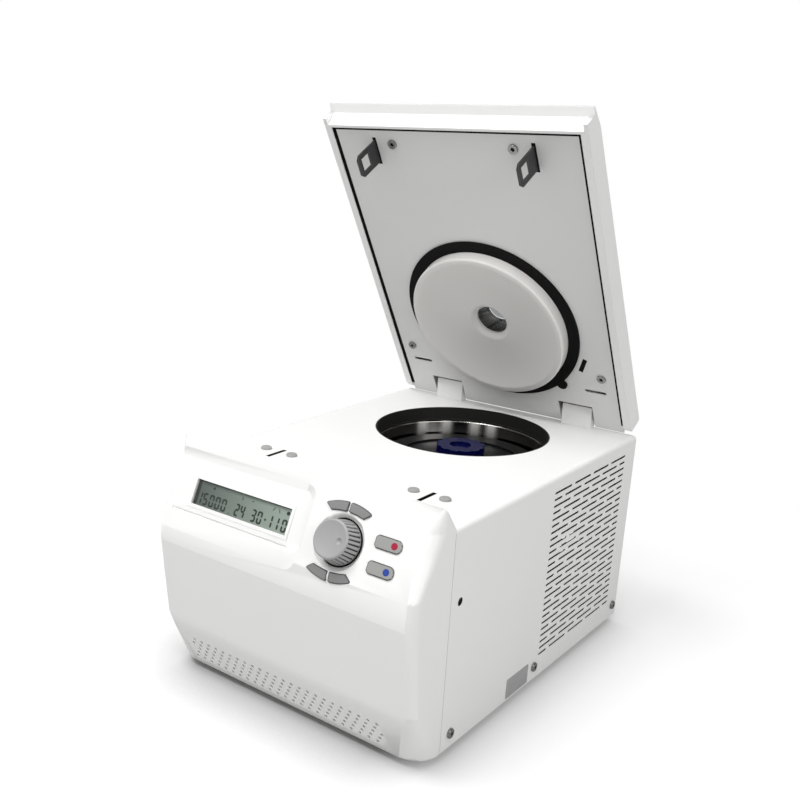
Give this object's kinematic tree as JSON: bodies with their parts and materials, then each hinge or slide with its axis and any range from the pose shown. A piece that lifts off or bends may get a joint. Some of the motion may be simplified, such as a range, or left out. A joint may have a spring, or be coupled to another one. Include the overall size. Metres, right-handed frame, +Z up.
{
  "type": "microcentrifuge",
  "caption": "Bench microcentrifuge: vented case with a raised latching lid, angled front with display, knob and keys, and a fixed-angle rotor in a steel bowl.",
  "frame": {"origin": "on the surface it stands on, under the middle of its outline with the lid open", "axes": "+Z up, -Y towards the user at the front, +X to the user's right; the lid stands open"},
  "size_m": [0.3152, 0.4596, 0.5754],
  "materials": {
    "white_metal": "satin powder coat",
    "white_moulding": "fine satin moulding",
    "plate_grey": "satin powder coat",
    "plug_white": "satin moulding",
    "black_rubber": "matt",
    "dark_grey_rubber": "matt",
    "zinc_steel": "zinc plated",
    "polished_steel": "spun and polished",
    "black_steel": "black oxide",
    "screw_steel": "nickel plated",
    "tag_metal": "bare satin",
    "display_dark": "liquid crystal behind glass",
    "black_plastic": "matt",
    "board_green": "solder mask",
    "knob_grey": "satin moulding",
    "key_grey": "satin moulding",
    "key_light": "satin moulding",
    "rotor_black": "black anodised",
    "grip_blue": "satin moulding",
    "clear_glass": "clear",
    "brass_pins": "bare",
    "aluminium_cast": "as cast",
    "stator_iron": "laminated"
  },
  "bodies": {
    "case": {"front_shell": "white_moulding", "case_wrap": "white_metal", "base_plate": "zinc_steel", "rear_panel": "white_metal", "feet": "black_rubber", "case_screws": "screw_steel", "rating_plate": "tag_metal", "side_stiffeners": "white_metal", "display_glass": "display_dark", "display_module": "black_plastic", "control_board": "board_green", "knob_encoder": "zinc_steel", "bowl_collar": "dark_grey_rubber", "bowl_ring": "zinc_steel", "bowl": "polished_steel", "bumpers": "dark_grey_rubber", "hinge_blocks": "white_metal", "latch_frame": "zinc_steel", "lock_solenoid": "black_plastic", "motor_stator": "stator_iron", "motor_bearings": "zinc_steel", "motor_housing": "aluminium_cast", "motor_plate": "zinc_steel", "damper_mounts": "black_rubber", "shaft_boot": "black_rubber", "power_board": "board_green", "drive_board": "board_green", "mains_inlet": "black_plastic", "inlet_pins": "brass_pins", "switch_bezel": "black_plastic", "fan_frame": "black_plastic", "fan_guard": "zinc_steel"},
    "lid": {"lid_shell": "white_moulding", "lid_plate": "plate_grey", "lid_screws": "screw_steel", "lid_seal": "black_rubber", "lid_plug": "plug_white", "sight_glass": "clear_glass", "strikers": "black_steel", "lid_hinge_ears": "zinc_steel", "hinge_pins": "zinc_steel", "lid_springs": "zinc_steel"},
    "rotor": {"rotor": "rotor_black", "rotor_lid": "rotor_black", "drive_shaft": "zinc_steel", "motor_armature": "stator_iron"},
    "rotor_knob": {"rotor_knob": "grip_blue"},
    "knob_carrier": {"encoder_plunger": "zinc_steel"},
    "knob": {"control_knob": "knob_grey", "knob_shaft": "zinc_steel"},
    "lock": {"lock_bar": "zinc_steel", "solenoid_plunger": "zinc_steel"},
    "fan": {"fan_rotor": "black_plastic"},
    "rocker": {"switch_rocker": "black_plastic"},
    "arc_key_upper_left": {"arc_key_upper_left": "key_grey"},
    "arc_key_upper_right": {"arc_key_upper_right": "key_grey"},
    "arc_key_lower_left": {"arc_key_lower_left": "key_grey"},
    "arc_key_lower_right": {"arc_key_lower_right": "key_grey"},
    "start_key": {"start_key": "key_light"},
    "stop_key": {"stop_key": "key_light"}
  },
  "joints": [
    {"name": "lid_hinge", "type": "hinge", "parent": "case", "child": "lid", "pos_m": [0, 0.22158, 0.2473], "axis": [1, 0, 0], "range_deg": [0, 59.2]},
    {"name": "rotor_spin", "type": "hinge", "parent": "case", "child": "rotor", "pos_m": [0, 0.09548, 0.128], "axis": [0, 0, 1], "continuous": true},
    {"name": "rotor_knob_turn", "type": "hinge", "parent": "rotor", "child": "rotor_knob", "pos_m": [0, 0.09548, 0.2], "axis": [0, 0, 1], "continuous": true},
    {"name": "knob_push", "type": "slide", "parent": "case", "child": "knob_carrier", "axis": [0, 0.8858, -0.4641], "range_m": [0, 0.0008], "stiffness_N_per_m": 2000, "springref_m": -0.0008},
    {"name": "knob_turn", "type": "hinge", "parent": "knob_carrier", "child": "knob", "pos_m": [0.0628, -0.20978, 0.20354], "axis": [0, -0.8858, 0.4641], "continuous": true},
    {"name": "lock_slide", "type": "slide", "parent": "case", "child": "lock", "axis": [1, 0, 0], "range_m": [0, 0.008]},
    {"name": "fan_spin", "type": "hinge", "parent": "case", "child": "fan", "pos_m": [0.105, 0.20558, 0.075], "axis": [0, 1, 0], "continuous": true},
    {"name": "switch_rock", "type": "hinge", "parent": "case", "child": "rocker", "pos_m": [-0.064, 0.21358, 0.05], "axis": [1, 0, 0], "range_deg": [-20, 0]},
    {"name": "arc_key_upper_left_press", "type": "slide", "parent": "case", "child": "arc_key_upper_left", "axis": [0, 0.8858, -0.4641], "range_m": [0, 0.0008], "stiffness_N_per_m": 1200, "springref_m": -0.0006},
    {"name": "arc_key_upper_right_press", "type": "slide", "parent": "case", "child": "arc_key_upper_right", "axis": [0, 0.8858, -0.4641], "range_m": [0, 0.0008], "stiffness_N_per_m": 1200, "springref_m": -0.0006},
    {"name": "arc_key_lower_left_press", "type": "slide", "parent": "case", "child": "arc_key_lower_left", "axis": [0, 0.8858, -0.4641], "range_m": [0, 0.0008], "stiffness_N_per_m": 1200, "springref_m": -0.0006},
    {"name": "arc_key_lower_right_press", "type": "slide", "parent": "case", "child": "arc_key_lower_right", "axis": [0, 0.8858, -0.4641], "range_m": [0, 0.0008], "stiffness_N_per_m": 1200, "springref_m": -0.0006},
    {"name": "start_key_press", "type": "slide", "parent": "case", "child": "start_key", "axis": [0, 0.8858, -0.4641], "range_m": [0, 0.0008], "stiffness_N_per_m": 1200, "springref_m": -0.0006},
    {"name": "stop_key_press", "type": "slide", "parent": "case", "child": "stop_key", "axis": [0, 0.8858, -0.4641], "range_m": [0, 0.0008], "stiffness_N_per_m": 1200, "springref_m": -0.0006}
  ]
}
